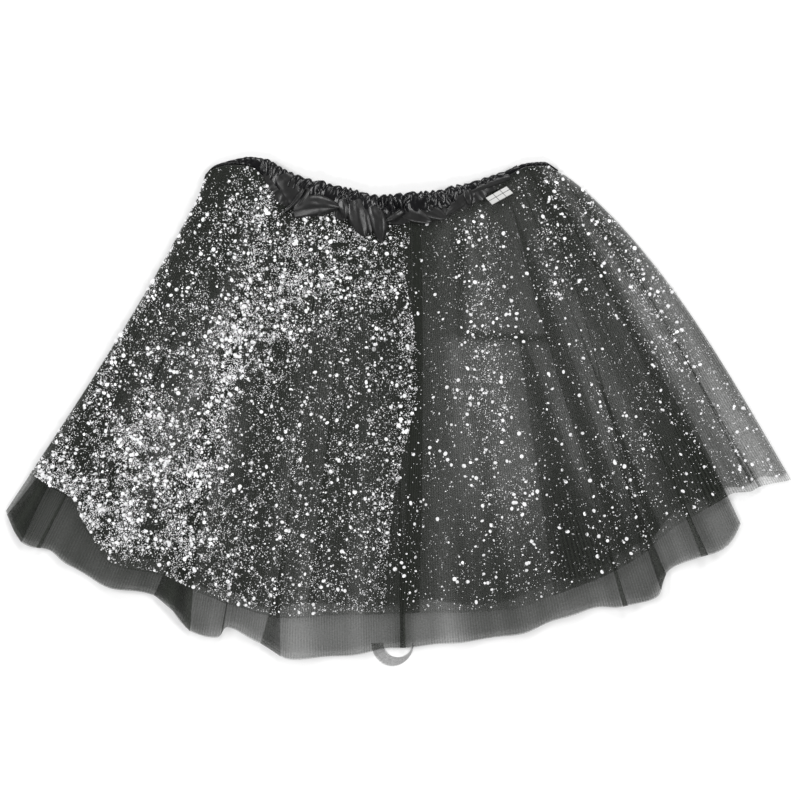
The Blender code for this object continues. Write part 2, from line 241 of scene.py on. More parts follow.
class Fan:
    """The skirt's plan: the waist seam, the rays, and the soft pleats that every layer shares."""

    SEAM_HALF = 0.3
    BOW_PEAK = 0.73
    PLEAT_AT_WAIST = 0.35

    def __init__(self) -> None:
        """Turns the tables into curves."""
        self.last_station = len(WAIST) - 1
        band = [Curve(range(len(WAIST)), column) for column in zip(*map(astuple, WAIST))]
        self.seam_x, self.seam_y, self.top_x, self.top_y, self.thick, self.gather = band
        fan = [Curve(range(len(RAYS)), column) for column in zip(*map(astuple, RAYS))]
        self.waist, self.hem_x, self.hem_y, self.glitter, self.bow = fan

    def away_from_band(self, station: float) -> tuple[float, float]:
        """Gives the direction square to the waist seam, on the side of the tulle.

        Args:
            station: The place along the waist.

        Returns:
            The direction's x and y.
        """
        after, before = min(station + 0.01, self.last_station), max(station - 0.01, 0)
        run_x = self.seam_x(after) - self.seam_x(before)
        run_y = self.seam_y(after) - self.seam_y(before)
        long = math.hypot(run_x, run_y)
        return run_y / long, -run_x / long

    @lru_cache(maxsize=20000)
    def line(self, ray: float) -> tuple[float, float, float, float, float, float]:
        """Works out a ray, once for each.

        Args:
            ray: The ray.

        Returns:
            Its start and direction, in x and y, its length and its bow.
        """
        station = self.waist(ray)
        away_x, away_y = self.away_from_band(station)
        start_x = self.seam_x(station) + away_x * self.SEAM_HALF
        start_y = self.seam_y(station) + away_y * self.SEAM_HALF
        run_x, run_y = self.hem_x(ray) - start_x, self.hem_y(ray) - start_y
        long = math.hypot(run_x, run_y)
        return start_x, start_y, run_x / long, run_y / long, long, self.bow(ray)

    def point(self, ray: float, down: float) -> tuple[float, float]:
        """Gives the place in plan, in millimetres.

        Args:
            ray: The ray.
            down: The share of the length.

        Returns:
            The place's x and y.
        """
        x, y, ahead_x, ahead_y, long, bow = self.line(round(ray, 3))
        side = bow * math.sin(math.pi * max(down, 0.0) ** self.BOW_PEAK)
        along = long * down
        return x + ahead_x * along - ahead_y * side, y + ahead_y * along + ahead_x * side

    def pleat_height(self, ray: float, down: float) -> float:
        """Gives how high the soft pleats stand at a place.

        Args:
            ray: The ray.
            down: The share of the length.

        Returns:
            The height, from 0 to 1.
        """
        height = 0.0
        for pleat in PLEATS:
            away = ray - pleat.crest
            reach = pleat.rise if away < 0 else pleat.drop
            if abs(away) < reach:
                grown = smooth_step((down - pleat.start) / (1 - pleat.start))
                grown *= blend(self.PLEAT_AT_WAIST, 1.0, down)
                height += pleat.height * grown * smooth_step(1 - abs(away) / reach)
        return height


FAN = Fan()


class Lap(Enum):
    """Which way a tuck is pressed over."""

    TO_RIGHT = 1
    TO_LEFT = -1


@dataclass(frozen=True)
class Tuck:
    """A tuck pressed flat: where it lies at the waist and the hem, and how wide it grows.

    The places and widths are counted in rays, and start is the share of the length where it opens.
    Grow says how fast it widens, and belly widens it half way down.
    """

    waist: float
    hem: float
    wide: float
    start: float = 0.0
    lap: Lap = Lap.TO_RIGHT
    narrow: float = 0.03
    bend: float = 1.0
    grow: float = 1.4
    belly: float = 0.0

    FULL_AT = 1.001

    def centre(self, down: float) -> float:
        """Gives the ray of the tuck's middle."""
        return blend(self.waist, self.hem, down**self.bend)

    def edges(self, down: float) -> tuple[float, float]:
        """Gives the rays of the tuck's left and right edge."""
        middle, half = self.centre(down), self.width(down) / 2
        return middle - half, middle + half

    def width(self, down: float) -> float:
        """Measures the tuck.

        Args:
            down: The share of the length.

        Returns:
            Its width, in rays.
        """
        share = max(0.0, (down - self.start) / (self.FULL_AT - self.start))
        belly = self.belly * math.sin(math.pi * share)
        return blend(self.narrow, self.wide, share**self.grow) + belly


# Across a tuck: the place from its left edge (-1) to its right edge (1), and the ply, from the
# lowest (0) to the highest (2). The same list backwards in ply serves a tuck laid to the left.
TUCK_PROFILE = (
    (-1.0, 2.0),
    (-0.3, 2.0),
    (0.4, 2.0),
    (0.94, 2.0),
    (1.0, 1.5),
    (0.94, 1.0),
    (0.0, 1.0),
    (-0.94, 1.0),
    (-1.0, 0.5),
    (-0.94, 0.0),
    (0.0, 0.0),
    (1.0, 0.0),
)


class FinishNodes:
    """A finish's material while its nodes are put together."""

    def __init__(self, name: str) -> None:
        """Starts the material.

        Args:
            name: The material's name.
        """
        self.material = bpy.data.materials.new(name)
        self.material.use_nodes = True
        self.tree = self.material.node_tree
        self.shader = self.tree.nodes["Principled BSDF"]

    def add(self, kind: str, **settings: object) -> bpy.types.Node:
        """Adds a node.

        Args:
            kind: The node's type.
            **settings: Properties set on it.

        Returns:
            The node.
        """
        made = self.tree.nodes.new(kind)
        for name, value in settings.items():
            setattr(made, name, value)
        return made

    def link(self, source: bpy.types.NodeSocket, made: bpy.types.Node, name: str) -> None:
        """Links a socket to a node's input of that name."""
        self.tree.links.new(source, made.inputs[name])

    def maths(self, operation: str, *values: object, clamp: bool = False) -> bpy.types.Node:
        """Adds a Math node.

        Args:
            operation: What it works out.
            *values: Numbers, sockets or nodes for its inputs.
            clamp: Holds the result between 0 and 1.

        Returns:
            The node.
        """
        made = self.add("ShaderNodeMath", operation=operation, use_clamp=clamp)
        for socket, value in zip(made.inputs, values):
            if isinstance(value, bpy.types.Node):
                self.tree.links.new(value.outputs[0], socket)
            elif isinstance(value, bpy.types.NodeSocket):
                self.tree.links.new(value, socket)
            else:
                socket.default_value = value
        return made

    def noise(
        self, place: bpy.types.NodeSocket, scale: float, detail: float, **settings: object
    ) -> bpy.types.NodeSocket:
        """Adds a Noise Texture node.

        Args:
            place: The coordinates that it reads.
            scale: Its scale.
            detail: Its octaves.
            **settings: Properties set on it.

        Returns:
            The socket of its value, which lies around a half.
        """
        texture = self.add("ShaderNodeTexNoise", **settings)
        texture.inputs["Scale"].default_value = scale
        texture.inputs["Detail"].default_value = detail
        self.link(place, texture, "Vector")
        return texture.outputs["Fac"]

    def tint(
        self, share: bpy.types.NodeSocket, first: Sequence[float], second: Sequence[float]
    ) -> None:
        """Colours the material between two tones.

        Args:
            share: The socket that gives the second tone's share.
            first: The first tone.
            second: The second tone.
        """
        mixed = self.add("ShaderNodeMix", data_type="RGBA")
        mixed.inputs["A"].default_value = (*first, 1.0)
        mixed.inputs["B"].default_value = (*second, 1.0)
        self.link(share, mixed, "Factor")
        self.link(mixed.outputs["Result"], self.shader, "Base Color")


@dataclass(frozen=True)
class NetFinish:
    """A net's finish: how much the threads cover, their colour with painted sheen on the ribs, and
    how uneven the net lies.
    """

    name: str
    cover: float
    ribs: float
    streaks: float
    colour: Colour
    grain: float = 0.4
    rib_pitch: float = 0.0021

    RIB_SHEEN_TONE = 3.0
    ROW_PITCH = 0.8
    ROW_SHARE = 0.08
    STREAK_STRETCH = (38.0, 2.2, 1.0)
    GRAIN_SCALE = 620.0

    def make(self) -> bpy.types.Material:
        """Builds the material on the panel's own UV map, which is in metres of cloth.

        Returns:
            The material.
        """
        work = FinishNodes(self.name)
        work.shader.inputs["Roughness"].default_value = 0.75
        work.shader.inputs["Specular IOR Level"].default_value = 0.06
        uv = work.add("ShaderNodeUVMap", uv_map="cloth")
        split = work.add("ShaderNodeSeparateXYZ")
        work.link(uv.outputs["UV"], split, "Vector")
        turns = work.maths("MULTIPLY", split.outputs["X"], math.tau / self.rib_pitch)
        wave = work.maths("SINE", turns)
        rib = work.maths("MULTIPLY_ADD", wave, 0.5, 0.5)
        row_pitch = self.rib_pitch * self.ROW_PITCH
        across = work.maths("MULTIPLY", split.outputs["Y"], math.tau / row_pitch)
        cross = work.maths("SINE", across)
        mesh = work.maths("MULTIPLY_ADD", cross, self.ribs * self.ROW_SHARE, self.cover)
        threads = work.maths("MULTIPLY_ADD", rib, self.ribs, mesh)
        stretch = work.add("ShaderNodeMapping")
        stretch.inputs["Scale"].default_value = self.STREAK_STRETCH
        work.link(uv.outputs["UV"], stretch, "Vector")
        streak = work.noise(stretch.outputs["Vector"], 1.0, 3.0, noise_dimensions="2D")
        centred = work.maths("SUBTRACT", streak, 0.5)
        streaked = work.maths("MULTIPLY_ADD", centred, self.streaks, threads)
        grain = work.noise(uv.outputs["UV"], self.GRAIN_SCALE, 2.0, noise_dimensions="2D")
        speckle = work.maths("SUBTRACT", grain, 0.5)
        uneven = work.maths("MULTIPLY_ADD", speckle, self.grain, streaked, clamp=True)
        open_share = work.maths("SUBTRACT", 1.0, uneven)
        # The cover thickens where fullness_and_shade is high: gathered cloth, darker lines and
        # painted shade.
        fullness_and_shade = work.add("ShaderNodeAttribute", attribute_name="fullness_and_shade")
        through = work.maths("POWER", open_share, fullness_and_shade.outputs["Fac"])
        covered = work.maths("SUBTRACT", 1.0, through, clamp=True)
        work.link(covered.outputs[0], work.shader, "Alpha")
        # The ribs are tinted lighter than the gaps between them: painted sheen on the threads.
        work.tint(rib.outputs[0], self.colour, [tone * self.RIB_SHEEN_TONE for tone in self.colour])
        return work.material


@dataclass(frozen=True)
class SatinFinish:
    """Black satin: a smooth weave with a soft sheen, lighter patches of painted sheen, and fine
    pulls along the folds.
    """

    name: str = "black_satin"
    colour: Colour = (0.0035, 0.0035, 0.004)
    roughness: float = 0.25
    sheen: float = 0.38
    painted_sheen: float = 2.0
    patch_scale: float = 160.0

    ROUGHNESS_SWING = 0.16
    WEAVE_SCALE = 900.0
    WEAVE_DEPTH = 0.0003

    def make(self) -> bpy.types.Material:
        """Builds the material on Object coordinates.

        Returns:
            The material.
        """
        work = FinishNodes(self.name)
        work.shader.inputs["Specular IOR Level"].default_value = self.sheen
        place = work.add("ShaderNodeTexCoord")
        patches = work.noise(place.outputs["Object"], self.patch_scale, 4.0)
        swing = self.ROUGHNESS_SWING
        rough = work.maths("MULTIPLY_ADD", patches, swing, self.roughness - swing / 2)
        work.link(rough.outputs[0], work.shader, "Roughness")
        # Lighter patches of painted sheen: the colour rises with the same noise that swings the
        # roughness.
        work.tint(patches, self.colour, [tone * self.painted_sheen for tone in self.colour])
        weave = work.add("ShaderNodeTexWave", wave_type="BANDS", bands_direction="DIAGONAL")
        weave.inputs["Scale"].default_value = self.WEAVE_SCALE
        weave.inputs["Distortion"].default_value = 1.5
        work.link(place.outputs["Object"], weave, "Vector")
        bump = work.add("ShaderNodeBump")
        bump.inputs["Strength"].default_value = 0.06
        bump.inputs["Distance"].default_value = self.WEAVE_DEPTH
        work.link(weave.outputs["Fac"], bump, "Height")
        work.link(bump.outputs["Normal"], work.shader, "Normal")
        return work.material


@dataclass(frozen=True)
class TapeFinish:
    """White woven tape with one thin dark line along it and two across."""

    name: str = "label_tape"
    tape: Colour = (0.60, 0.60, 0.59)
    line: Colour = (0.12, 0.12, 0.12)
    line_along: float = 0.0038
    line_first: float = 0.0075
    line_second: float = 0.0145
    line_half: float = 0.0003

    def make(self) -> bpy.types.Material:
        """Builds the material on the label's own UV map, in metres.

        Returns:
            The material.
        """
        work = FinishNodes(self.name)
        work.shader.inputs["Roughness"].default_value = 0.45
        uv = work.add("ShaderNodeUVMap", uv_map="cloth")
        split = work.add("ShaderNodeSeparateXYZ")
        work.link(uv.outputs["UV"], split, "Vector")
        lengthwise = work.maths("COMPARE", split.outputs["Y"], self.line_along, self.line_half)
        first = work.maths("COMPARE", split.outputs["X"], self.line_first, self.line_half)
        second = work.maths("COMPARE", split.outputs["X"], self.line_second, self.line_half)
        crossing = work.maths("MAXIMUM", first, second)
        lines = work.maths("MAXIMUM", lengthwise, crossing)
        work.tint(lines.outputs[0], self.tape, self.line)
        return work.material


@dataclass(frozen=True)
class FleckFinish:
    """Silver foil flecks, each with its own painted glint from dim to bright, read from the faces'
    glint.
    """

    name: str = "silver_flecks"
    dark: Colour = (0.22, 0.22, 0.23)
    bright: Colour = (0.96, 0.96, 0.97)

    def make(self) -> bpy.types.Material:
        """Builds the material.

        Returns:
            The material.
        """
        work = FinishNodes(self.name)
        work.shader.inputs["Roughness"].default_value = 0.4
        work.shader.inputs["Metallic"].default_value = 0.15
        glint = work.add("ShaderNodeAttribute", attribute_name="glint")
        work.tint(glint.outputs["Fac"], self.dark, self.bright)
        return work.material


def add_piece(name: str, mesh: bmesh.types.BMesh, material: bpy.types.Material) -> bpy.types.Object:
    """Turns a bmesh in metres into a piece that stands at the origin.

    Args:
        name: The piece's name.
        mesh: The finished bmesh, which is freed.
        material: Its material.

    Returns:
        The piece.
    """
    data = bpy.data.meshes.new(name)
    mesh.to_mesh(data)
    mesh.free()
    data.shade_smooth()
    data.materials.append(material)
    piece = bpy.data.objects.new(name, data)
    bpy.context.scene.collection.objects.link(piece)
    return piece


def declare(piece: bpy.types.Object, replaced: str | None = None) -> None:
    """Fixes a piece to the part's body.

    Args:
        piece: The piece.
        replaced: The CAD node that it takes the place of.
    """
    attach(piece, BODY)
    if replaced:
        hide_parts(replaced)
    area = sum(face.area for face in piece.data.polygons)
    log.info("%s: %d faces, %.4f square metres", piece.name, len(piece.data.polygons), area)


def cloth_grid(
    columns: int,
    rows: int,
    place: Callable[[int, int], Point],
    cloth: Callable[[int, int], tuple[float, float]],
    fullness_and_shade: Callable[[int, int], float] = lambda column, row: 1.0,
) -> bmesh.types.BMesh:
    """Makes a sheet from a grid whose points are moved one by one.

    Args:
        columns: Quads across.
        rows: Quads down.
        place: Gives a point in millimetres for a column and a row number.
        cloth: Gives the point's place on the flat cloth, in metres, for the UV map.
        fullness_and_shade: Gives how tightly the cloth is drawn together there, with painted shade
            added, for the net's cover.

    Returns:
        The sheet's bmesh, in metres.
    """
    mesh = bmesh.new()
    bmesh.ops.create_grid(mesh, x_segments=columns, y_segments=rows, size=0.5)
    flat_map = mesh.loops.layers.uv.new("cloth")
    drawn = mesh.verts.layers.float.new("fullness_and_shade")
    spots: dict[bmesh.types.BMVert, tuple[int, int]] = {}
    for vert in mesh.verts:
        spot = round((vert.co.x + 0.5) * columns), round((0.5 - vert.co.y) * rows)
        spots[vert] = spot
        vert.co = Vector(place(*spot)) * MM
        vert[drawn] = fullness_and_shade(*spot)
    for face in mesh.faces:
        for loop in face.loops:
            loop[flat_map].uv = cloth(*spots[loop.vert])
    return mesh


@dataclass(frozen=True)
class Drift:
    """A soft line in millimetres, its spread and how thick it lies; used for glitter drifts,
    doubled cloth and painted shade.
    """

    from_x: float
    from_y: float
    to_x: float
    to_y: float
    spread: float
    weight: float

    def at(self, x: float, y: float) -> float:
        """Gives how thick the drift lies at a place.

        Args:
            x: The place across the skirt.
            y: The place from the hem up.

        Returns:
            The thickness, in the weight's unit.
        """
        run_x, run_y = self.to_x - self.from_x, self.to_y - self.from_y
        long = run_x * run_x + run_y * run_y
        share = ((x - self.from_x) * run_x + (y - self.from_y) * run_y) / long if long else 0.0
        share = min(max(share, 0.0), 1.0)
        gone = math.hypot(x - self.from_x - run_x * share, y - self.from_y - run_y * share)
        return self.weight * math.exp(-((gone / self.spread) ** 2))


@dataclass
class TullePanel:
    """One layer of tulle, a thin sheet on the fan's rays with its tucks folded flat."""

    name: str
    replaced: str
    base: float
    lift: float
    first: float
    last: float
    length: Callable[[float], float]
    finish: NetFinish
    flat: tuple[float, float]
    area: float
    rests_on: str
    tucks: tuple[Tuck, ...] = ()
    edge: Curve | None = None
    shades: tuple[Drift, ...] = ()
    sinks: bool = False
    rows: int = 34
    columns_per_ray: int = 7
    ply: float = 0.42
    ripple: float = 0.35
    seed: float = 0.0
    spans: list[tuple[float, int, float]] = field(default_factory=list)
    runs: list[float] = field(default_factory=list)

    FLARE_FROM = 22.25
    FLARE_TO = 23.5
    FLARE_SINK = 3.3
    ROW_SPACING = 1.15
    MEASURED_AT = 0.7
    WAIST_GATHER = 0.25
    WAIST_GATHER_END = 0.4
    CLOUDS = 0.30
    HEM_FROM = 0.60
    HEM_FADE = 0.32

    def lay_out(self) -> None:
        """Lists the columns, each a tuck's profile point or a share of the cloth between tucks."""
        for number in range(len(self.tucks) + 1):
            left = self.tucks[number - 1].hem if number else self.first
            right = self.tucks[number].hem if number < len(self.tucks) else self.last
            count = max(3, round((right - left) * self.columns_per_ray))
            begin = 0 if number == 0 else 1
            end = count + 1 if number == len(self.tucks) else count
            self.spans += [(step / count, number, -1.0) for step in range(begin, end)]
            if number < len(self.tucks):
                self.spans += [(0.0, number, float(spot)) for spot in range(len(TUCK_PROFILE))]

    def border(self, down: float) -> float:
        """Gives the ray of the panel's last column, its open edge where it has one."""
        return self.last if self.edge is None else self.edge(down)

    def across(self, column: int, down: float) -> tuple[float, float]:
        """Finds a column's ray and its height in plies.

        Args:
            column: The column's number.
            down: The share of the length.

        Returns:
            The ray and the height, in plies.
        """
        share, number, spot = self.spans[column]
        if spot >= 0:
            tuck = self.tucks[number]
            side, level = TUCK_PROFILE[int(spot)]
            if tuck.lap is Lap.TO_LEFT:
                level = 2.0 - level
            return tuck.centre(down) + side * tuck.width(down) / 2, level
        left, low = self.first, 0.0
        if number:
            before = self.tucks[number - 1]
            left = before.edges(down)[1]
            low = 0.0 if before.lap is Lap.TO_RIGHT else 2.0
        right, high = self.border(down), 0.0
        if number < len(self.tucks):
            after = self.tucks[number]
            right = after.edges(down)[0]
            high = 2.0 if after.lap is Lap.TO_RIGHT else 0.0
        return blend(left, right, share), blend(low, high, smooth_step(share))

    def top_ply(self, ray: float, down: float) -> float:
        """Finds the uppermost ply at a place.

        Args:
            ray: The ray.
            down: The share of the length.

        Returns:
            The ply's height, in plies.
        """
        left, low = self.first, 0.0
        for tuck in self.tucks:
            opens, closes = tuck.edges(down)
            if ray < opens:
                high = 2.0 if tuck.lap is Lap.TO_RIGHT else 0.0
                return blend(low, high, smooth_step((ray - left) / (opens - left)))
            if ray <= closes:
                return 2.0
            left, low = closes, 0.0 if tuck.lap is Lap.TO_RIGHT else 2.0
        return low * (1.0 - smooth_step((ray - left) / (self.border(down) - left)))

    def height(self, ray: float, down: float) -> float:
        """Gives the sheet's height without its tucks.

        Args:
            ray: The ray.
            down: The share of the length.

        Returns:
            The height, in millimetres.
        """
        sink = 0.0
        if self.sinks:
            flare = (ray - self.FLARE_FROM) / (self.FLARE_TO - self.FLARE_FROM)
            sink = self.FLARE_SINK * smooth_step(flare)
        soft = waver(ray * 2.3, down * 3.0, self.seed)
        soft += 0.6 * waver(ray * 6.1, down * 2.0, self.seed + 7.0)
        return self.base - sink + self.lift * FAN.pleat_height(ray, down) + self.ripple * (1 + soft)

    def row_share(self, row: int) -> float:
        """Gives a row's share of the length. The rows lie closer at the waist."""
        return (row / self.rows) ** self.ROW_SPACING

    def place(self, column: int, row: int) -> Point:
        """Gives a grid point.

        Args:
            column: The point's column.
            row: The point's row.

        Returns:
            The point, in millimetres.
        """
        down = self.row_share(row)
        ray, plies = self.across(column, down)
        along = down * self.length(ray)
        x, y = FAN.point(ray, along)
        return x, y, self.height(ray, along) + plies * self.ply

    def cloth(self, column: int, row: int) -> tuple[float, float]:
        """Gives a grid point's place on the flat cloth, in metres."""
        return self.runs[column], self.row_share(row) * self.flat[1]

    def fullness_and_shade(self, column: int, row: int) -> float:
        """Gives how tightly the cloth is drawn together at a grid point, with the shades added:
        darker lines and painted shade.

        Args:
            column: The point's column.
            row: The point's row.

        Returns:
            The fullness with shade, which is 1 for cloth of an even cover.
        """
        down = self.row_share(row)
        ray, _ = self.across(column, down)
        x, y = FAN.point(ray, down * self.length(ray))
        drawn = 1.0 + self.WAIST_GATHER * (1.0 - smooth_step(down / self.WAIST_GATHER_END))
        # The shades thicken the net: darker lines and painted shade.
        drawn += sum(shade.at(x, y) for shade in self.shades)
        drawn += self.CLOUDS * waver(ray * 1.1, down * 2.6, self.seed + 20.0)
        if "glitter" in self.name:
            return GLITTER_BODY(ray) * drawn
        hem_share = smooth_step((down - self.HEM_FROM) / self.HEM_FADE)
        return blend(PLAIN_BODY(ray) * drawn, PLAIN_HEM(ray), hem_share)

    def build(self) -> None:
        self.lay_out()
        middle = round(self.rows * self.MEASURED_AT)
        self.runs = [0.0]
        last = Vector(self.place(0, middle))
        for column in range(1, len(self.spans)):
            here = Vector(self.place(column, middle))
            self.runs.append(self.runs[-1] + (here - last).length * MM)
            last = here
        mesh = cloth_grid(len(self.spans) - 1, self.rows, self.place, self.cloth, self.fullness_and_shade)
        piece = add_piece(self.name, mesh, self.finish.make())
        slot = "glitter_tulle" if "glitter" in self.name else "plain_tulle"
        declare(piece, self.replaced)


@dataclass(frozen=True)
class FleckKind:
    """A kind of fleck: radii in millimetres, how rare the large ones are, its dimmest painted
    glint, how clumped.
    """

    prefix: str
    seed: int
    least: float
    most: float
    rarity: float
    dimmest_glint: float
    clumps: float
    sides: int
    even: float


FINE_FLECKS = FleckKind(
    "fine_flecks_", seed=21, least=0.22, most=0.52, rarity=2.0, dimmest_glint=0.3, clumps=1.2,
    sides=5, even=1.0,
)
COARSE_FLECKS = FleckKind(
    "flecks_", seed=22, least=0.40, most=2.2, rarity=5.0, dimmest_glint=0.45, clumps=0.6,
    sides=7, even=1.3,
)


@dataclass
class GlitterFlecks:
    """Foil flecks stuck to a tulle panel, strewn in clumps and more thickly along drifts."""

    kind: FleckKind
    place_name: str
    panel: TullePanel
    count: int
    even: float
    drifts: tuple[Drift, ...]
    reach: float

    # Clump sizes in millimetres, each with its weight and its slice of the noise.
    CLUMPS = ((21.0, 0.55, 0.0), (7.0, 0.75, 2.0), (2.6, 0.45, 4.0))
    LEAST_CLUMP = 0.04
    HEM_STEPS = 240
    PEAK_STEPS = 20
    LOWER_SHARE = 0.6
    HEM_LIMIT = 0.995
    EDGE_MARGIN = 0.02
    ABOVE_NET = 0.3
    TILT = 0.2
    NARROWEST = 0.62

    def density(self, x: float, y: float) -> float:
        """Gives how thickly flecks lie at a place, in any unit."""
        even = self.even * self.kind.even
        return even + sum(drift.at(x, y) for drift in self.drifts)

    def clump(self, x: float, y: float) -> float:
        """Draws the flecks together in clumps.

        Args:
            x: The place across the skirt.
            y: The place from the hem up.

        Returns:
            The share of flecks that stay there, from 0 to 1.
        """
        seed = self.panel.seed
        level = sum(part * waver(x / size, y / size, seed + cut) for size, part, cut in self.CLUMPS)
        return min(max(0.5 + self.kind.clumps * level, self.LEAST_CLUMP), 1.0)

    def shares(self) -> tuple[list[float], list[float]]:
        """Measures the panel's hem.

        Returns:
            Rays across the panel, and how much of the hem lies before each.
        """
        steps = self.HEM_STEPS
        rays = [self.panel.first + self.reach * step / steps for step in range(steps + 1)]
        along_hem = [0.0]
        for before, after in zip(rays, rays[1:]):
            run_x = FAN.hem_x(after) - FAN.hem_x(before)
            run_y = FAN.hem_y(after) - FAN.hem_y(before)
            along_hem.append(along_hem[-1] + math.hypot(run_x, run_y))
        return rays, along_hem

    def spots(self) -> list[tuple[Matrix, float, float]]:
        """Draws where each fleck lies, its radius in metres and its brightness.

        Returns:
            The flecks.
        """
        kind, panel, steps = self.kind, self.panel, self.PEAK_STEPS
        draw = random.Random(kind.seed)
        rays, along_hem = self.shares()
        peak = max(
            self.density(*FAN.point(ray, step / steps))
            for ray in rays[::4]
            for step in range(1, steps)
        )
        flecks: list[tuple[Matrix, float, float]] = []
        while len(flecks) < self.count:
            hem_place = draw.uniform(0.0, along_hem[-1])
            cell = min(bisect.bisect_right(along_hem, hem_place) - 1, len(rays) - 2)
            ray = round(blend(rays[cell], rays[cell + 1], draw.random()), 3)
            lower = draw.random() < self.LOWER_SHARE
            down = max(draw.random(), draw.random()) if lower else draw.random()
            if ray > panel.border(down) - self.EDGE_MARGIN or down > self.HEM_LIMIT:
                continue
            along = down * panel.length(ray)
            x, y = FAN.point(ray, along)
            if draw.uniform(0.0, peak) > self.density(x, y) * self.clump(x, y):
                continue
            z = panel.height(ray, along) + panel.top_ply(ray, down) * panel.ply + self.ABOVE_NET
            size_share = draw.random() ** kind.rarity
            size = blend(kind.least, kind.most, size_share)
            tilts = draw.gauss(0, self.TILT), draw.gauss(0, self.TILT)
            turn = Euler((*tilts, draw.uniform(0, math.tau)))
            place = Matrix.Translation(Vector((x, y, z)) * MM) @ turn.to_matrix().to_4x4()
            place = place @ Matrix.Diagonal((1.0, draw.uniform(self.NARROWEST, 1.0), 1.0, 1.0))
            # Each fleck's brightness is painted glint; the larger flecks glint brighter.
            bright = blend(kind.dimmest_glint, 1.0, max(size_share, draw.random()))
            flecks.append((place, size * MM, bright))
        return flecks

    def build(self) -> None:
        """Strews the flecks: one round disc, doubled until there are enough, then each moved."""
        flecks = self.spots()
        mesh = bmesh.new()
        glint = mesh.faces.layers.float.new("glint")
        bmesh.ops.create_circle(mesh, cap_ends=True, segments=self.kind.sides, radius=1.0)
        while len(mesh.faces) < len(flecks):
            bmesh.ops.duplicate(mesh, geom=mesh.verts[:] + mesh.edges[:] + mesh.faces[:])
        spare = mesh.faces[:][len(flecks):]
        bmesh.ops.delete(mesh, geom=spare, context="FACES")
        for face, (place, size, bright) in zip(mesh.faces, flecks):
            face[glint] = bright
            for vert in face.verts:
                vert.co = place @ (vert.co * size)
        piece = add_piece(self.kind.prefix + self.place_name, mesh, FleckFinish().make())
        for polygon in piece.data.polygons:
            polygon.use_smooth = False
        declare(piece)


@dataclass
class GatheredBand:
    """A run of the elastic casing: satin drawn up in tight, uneven gathers."""

    name: str
    replaced: str
    gathers: int
    lowest: Callable[[float], float]
    thickness_share: float
    inset: float
    relief: float
    seed: float
    satin: bpy.types.Material
    sides: int = 22
    steps: int = 12

    FOLD_POWER = 0.7
    REACH_OUT = 0.75
    SLIP = 0.5
    SWELL = 1.7

    def place(self, ring: int, side: int) -> Point:
        """Gives a point of the casing in millimetres.

        Args:
            ring: The ring's number along the band.
            side: The point's number round the casing.

        Returns:
            The point.
        """
        rings = self.gathers * self.steps
        station = ring / rings * FAN.last_station
        angle = math.tau * (side + 0.5) / self.sides
        across = 0.5 - 0.5 * math.cos(angle)
        turn = ring / self.steps
        drift = 0.9 * waver(turn * 0.31, across * 2.2, self.seed)
        drift += 0.4 * waver(turn * 0.9, across * 5.0, self.seed + 3)
        fold = 2.0 * abs(math.cos(math.pi * (turn + drift))) ** self.FOLD_POWER - 1.0
        tall = 0.8 + 1.1 * waver(turn * 0.55, across, self.seed + 9)
        gather = FAN.gather(station) * self.relief
        low = Vector((FAN.seam_x(station), FAN.seam_y(station)))
        top = Vector((FAN.top_x(station), FAN.top_y(station)))
        up = (top - low).normalized()
        reach = (top - low).length - self.inset + self.REACH_OUT * gather * fold * tall
        along = FAN.SEAM_HALF + (reach - FAN.SEAM_HALF) * across
        slip = self.SLIP * gather * waver(turn * 1.3, across * 2.0, self.seed + 5)
        thick = FAN.thick(station) * self.thickness_share
        stand = 0.5 * math.sin(angle)
        swell = self.SWELL * gather * fold * tall if stand > 0 else 0.0
        return (
            low.x + up.x * along + up.y * slip,
            low.y + up.y * along - up.x * slip,
            self.lowest(station) + thick / 2 + (thick + swell) * stand,
        )

    def build(self) -> None:
        """Builds the casing."""
        rings = self.gathers * self.steps
        mesh = bmesh.new()
        bmesh.ops.create_grid(mesh, x_segments=rings, y_segments=self.sides, size=0.5)
        for vert in mesh.verts:
            ring = round((vert.co.x + 0.5) * rings)
            side = round((vert.co.y + 0.5) * self.sides) % self.sides
            vert.co = Vector(self.place(ring, side)) * MM
        bmesh.ops.remove_doubles(mesh, verts=mesh.verts, dist=1e-7)
        bmesh.ops.holes_fill(mesh, edges=[edge for edge in mesh.edges if edge.is_boundary])
        bmesh.ops.recalc_face_normals(mesh, faces=mesh.faces)
        piece = add_piece(self.name, mesh, self.satin)
        declare(piece, self.replaced)


@dataclass(frozen=True)
class Lobe:
    """A lobe of the satin heading: its root and tip in plan, its width, its bow and its rise."""

    root_x: float
    root_y: float
    tip_x: float
    tip_y: float
    wide: float
    bow: float
    rise: float


HEADING_LOBES = (
    Lobe(-104.0, 213.0, -91.0, 182.0, 18.0, 3.0, 1.8),
    Lobe(-84.0, 200.0, -101.0, 179.0, 6.0, 1.5, 3.6),
    Lobe(-79.0, 199.0, -93.0, 177.0, 6.0, 1.0, 4.0),
    Lobe(-92.0, 182.0, -51.0, 184.0, 20.0, 3.5, 4.4),
    Lobe(-50.0, 191.0, -45.5, 173.0, 10.0, 0.5, 3.4),
    Lobe(-38.0, 190.0, -28.0, 157.0, 17.0, -2.0, 3.6),
    Lobe(-31.0, 184.0, -23.0, 160.0, 9.0, 0.0, 2.2),
    Lobe(-21.0, 185.0, -14.0, 152.5, 16.0, 1.5, 3.8),
    Lobe(5.0, 181.0, -11.0, 171.0, 8.0, 1.0, 3.4),
    Lobe(6.0, 179.5, 31.0, 171.0, 13.0, 1.0, 1.6),
    Lobe(22.0, 182.5, 45.0, 174.0, 12.0, 1.0, 1.3),
    Lobe(68.0, 198.0, 44.0, 177.0, 11.0, -1.0, 1.2),
    Lobe(62.0, 199.0, 66.0, 186.0, 9.0, 0.0, 2.6),
    Lobe(101.0, 212.0, 64.0, 196.5, 7.0, -1.0, 1.4),
)


